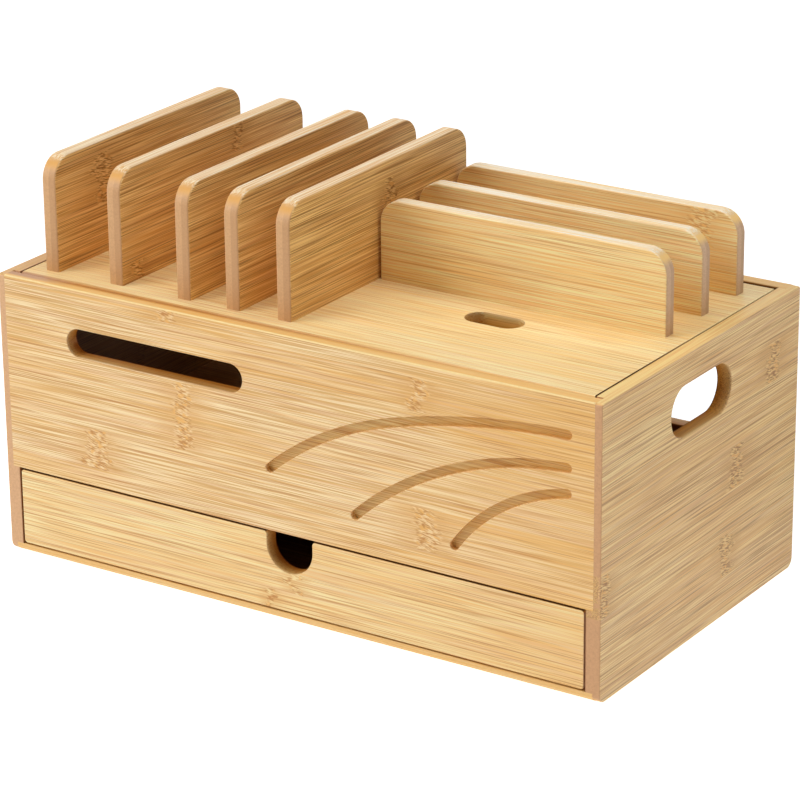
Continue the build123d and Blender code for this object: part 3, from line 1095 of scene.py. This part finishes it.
def makeLid():
    low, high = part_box("lid_board")
    board = startBoard("lid_top", low, high)
    roundEdges(
        board,
        lidLook["seam"] * mm,
        5,
        lambda edge: runsAlong(edge, 0) and liesOn(edge, 2, high.z) and liesOn(edge, 1, low.y),
    )
    cutOpening(board, (low, high), 2, lidLook["holeMiddle"], lidLook["holeSize"])
    wide, narrow, depth = (value * mm for value in lidLook["countersink"])
    bpy.ops.object.select_all(action="DESELECT")
    bpy.ops.mesh.primitive_cone_add(vertices=32, radius1=wide, radius2=narrow, depth=depth)
    countersink = bpy.context.object
    for node in dividerNodes:
        footLow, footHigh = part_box(node)
        middle, size = (footLow + footHigh) / 2, footHigh - footLow
        axis = 0 if size.x > size.y else 1
        for side in (-0.5, 0.5):
            place = middle.copy()
            place[axis] += side * lidLook["screwShare"] * size[axis]
            place.z = low.z + depth / 2
            cutWith(board, copyPiece(countersink, "cutter", place))
    bpy.data.objects.remove(countersink)
    roundEdges(
        board,
        lidLook["ease"] * mm,
        3,
        lambda edge: isCorner(edge) and liesOn(edge, 2, high.z),
    )
    finishPiece(board, bamboo("lidBamboo", lidWood), "lid", "lid_board")


makeLid()
print("lid done")

# Dividers: boards on edge, with two round corners and softly sanded rims

dividerLook = {"corner": 12.0, "cornerSteps": 20, "ease": 1.0}
longDividers = {
    "thin": 0,
    "grain": 1,
    "tone": "amber",
    "woods": {
        "long_divider_1": {"seed": 11, "knuckles": ((-41, 176, 203, 8),)},
        "long_divider_2": {"seed": 12, "knuckles": ((20, 194, 209, 5), (-67, 150, 160, 5))},
        "long_divider_3": {"seed": 13, "knuckles": ()},
        "long_divider_4": {"seed": 14, "knuckles": ()},
        "long_divider_5": {"seed": 15, "knuckles": ((7, 182, 200, 6),)},
    },
}
crossDividers = {
    "thin": 1,
    "grain": 0,
    "tone": "straw",
    "woods": {
        "cross_divider_front": {"seed": 16, "knuckles": ()},
        "cross_divider_middle": {"seed": 17, "knuckles": ((40, 150, 172, 6),)},
        "cross_divider_back": {"seed": 18, "knuckles": ((136, 172, 193, 7),)},
    },
}


def dividerBoard(node, thin):
    low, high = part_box(node)
    board = startBoard(node.replace("divider", "rest"), low, high)
    roundEdges(
        board,
        dividerLook["corner"] * mm,
        dividerLook["cornerSteps"],
        lambda edge: runsAlong(edge, thin) and middleOf(edge).z > high.z - mm,
    )
    roundEdges(
        board,
        dividerLook["ease"] * mm,
        4,
        lambda edge: isCorner(edge) and middleOf(edge).z > low.z + mm,
    )
    return board


def makeDividers(family):
    # the first one is modelled and the others are copies of it, each with its own wood
    thin, nodes = family["thin"], list(family["woods"])
    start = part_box(nodes[0])[0]
    boards = [dividerBoard(nodes[0], thin)]
    for node in nodes[1:]:
        boards.append(copyPiece(boards[0], node.replace("divider", "rest"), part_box(node)[0] - start))
    for node, board in zip(nodes, boards):
        low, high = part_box(node)
        look = {
            "tone": family["tone"],
            "ply": (low[thin] + high[thin]) / 2 / mm,
            "grain": family["grain"],
            "across": 2,
            "span": (150, 210),
            "strips": ((150, 0.4), (172, 0.65), (190, 0.45)),
            **family["woods"][node],
        }
        finishPiece(board, bamboo(node + "Bamboo", look), "lid", node)


makeDividers(longDividers)
makeDividers(crossDividers)
print("dividers done")

# Drawer front, with its finger notch

drawerLook = {
    "shrink": 0.25,  # shows the gap round the drawer a little wider
    "topShrink": 0.5,
    "corner": 1.6,
    "notchWidth": 27.0,
    "notchDepth": 20.0,
    "notchCorner": 1.5,
    "ease": 0.35,
}
drawerFrontWood = {
    "tone": "golden",
    "tints": {
        "pale": (255, 234, 175),
        "honey": (243, 200, 136),
        "gold": (246, 194, 118),
        # painted shade on the walls of the finger notch
        "wall": (214, 170, 110),
    },
    "gild": (10, 140, 0.3),
    "outside": -96.5,
    "openings": ((0, -20, -19), (0, 20, 19)),
    "seed": 7,
    "grain": 0,
    "across": 2,
    "span": (5, 47),
    "strips": ((5, 0.65), (27, 0.9)),
    "knuckles": ((2.7, 16, 27, 4), (-13.5, 5, 16, 3)),
    "paintedLightAndShade": (((104, 68, 30), (1, -96.2, -95.9), (2, 45.6, 45.8)),),  # painted shade: the gap above it is dark
}


def makeDrawerFront():
    low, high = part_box("drawer_front")
    gap, topGap = drawerLook["shrink"] * mm, drawerLook["topShrink"] * mm
    low, high = low + Vector((gap, 0, gap)), high - Vector((gap, 0, topGap))
    board = startBoard("drawer_face", low, high)
    roundEdges(board, drawerLook["corner"] * mm, 5, lambda edge: runsAlong(edge, 1))
    half = drawerLook["notchWidth"] * mm / 2
    depth = drawerLook["notchDepth"] * mm - topGap
    notchLow = (-half, low.y - past, high.z - depth)
    notchHigh = (half, high.y + past, high.z + depth)
    cutWith(board, slotCutter(notchLow, notchHigh, 1, half * almost, 32))
    roundEdges(
        board,
        drawerLook["notchCorner"] * mm,
        5,
        lambda edge: runsAlong(edge, 1)
        and middleOf(edge).z > high.z - 0.1 * mm
        and abs(middleOf(edge).x) < 1.1 * half,
    )
    roundEdges(
        board,
        drawerLook["ease"] * mm,
        3,
        lambda edge: isCorner(edge) and liesOn(edge, 1, low.y),
    )
    wood = bamboo("drawerFaceBamboo", drawerFrontWood)
    finishPiece(board, wood, "drawer", "drawer_front")


makeDrawerFront()
print("drawer front done")

# Boards that keep their shape from the frame and get their wood here

innerWoods = {
    "drawer_shelf": {"seed": 21, "grain": 0, "across": 1},
    "left_lid_cleat": {"seed": 22, "grain": 1, "across": 2},
    "right_lid_cleat": {"seed": 23, "grain": 1, "across": 2},
    "drawer_left_side": {"seed": 24, "grain": 1, "across": 2},
    "drawer_right_side": {"seed": 25, "grain": 1, "across": 2},
    "drawer_back": {"seed": 26, "grain": 0, "across": 2},
    "drawer_bottom": {"seed": 27, "grain": 0, "across": 1},
}
innerStripWidth = 24
innerStripTones = (0.45, 0.7, 0.35, 0.6, 0.5, 0.75, 0.4)


def dressNode(node, material):
    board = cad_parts[node]
    if not board.material_slots:
        board.data.materials.append(material)
    for slot in board.material_slots:
        slot.material = material


def innerLook(innerNode, wood):
    # the darker tone that paints the shade inside the case, with a span and strips that fit the board
    innerLow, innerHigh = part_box(innerNode)
    low, high = innerLow[wood["across"]] / mm - 1, innerHigh[wood["across"]] / mm + 1
    count = max(1, round((high - low) / innerStripWidth))
    tones = [innerStripTones[number % len(innerStripTones)] for number in range(count)]
    strips = [(low + (high - low) * number / count, tone) for number, tone in enumerate(tones)]
    return {"tone": "raw", "span": (low, high), "strips": strips, **wood}


for node, wood in innerWoods.items():
    dressNode(node, bamboo(node + "Bamboo", innerLook(node, wood)))


zincLook = {
    "clouds": (900, 900, 900),
    "dark": (168, 170, 172),
    "pale": (196, 196, 190),
    "roughness": (0.28, 0.42),
}


def zincPlate(look):
    material, tree = newMaterial("zincPlate")
    shader = tree.nodes["Principled BSDF"]
    coords = tree.nodes.new("ShaderNodeTexCoord")
    cloud = noiseNode(tree, coords.outputs["Object"], look["clouds"], 3, 0.6)
    dark, pale = srgb(*look["dark"]), srgb(*look["pale"])
    colour = mixNode(tree, rangeNode(tree, cloud, 0.35, 0.65), dark, pale)
    tree.links.new(colour, shader.inputs["Base Color"])
    tree.links.new(rangeNode(tree, cloud, 0.3, 0.7, *look["roughness"]), shader.inputs["Roughness"])
    shader.inputs["Metallic"].default_value = 1
    return material


dressNode("divider_screws", zincPlate(zincLook))
print("inner boards and screws done")
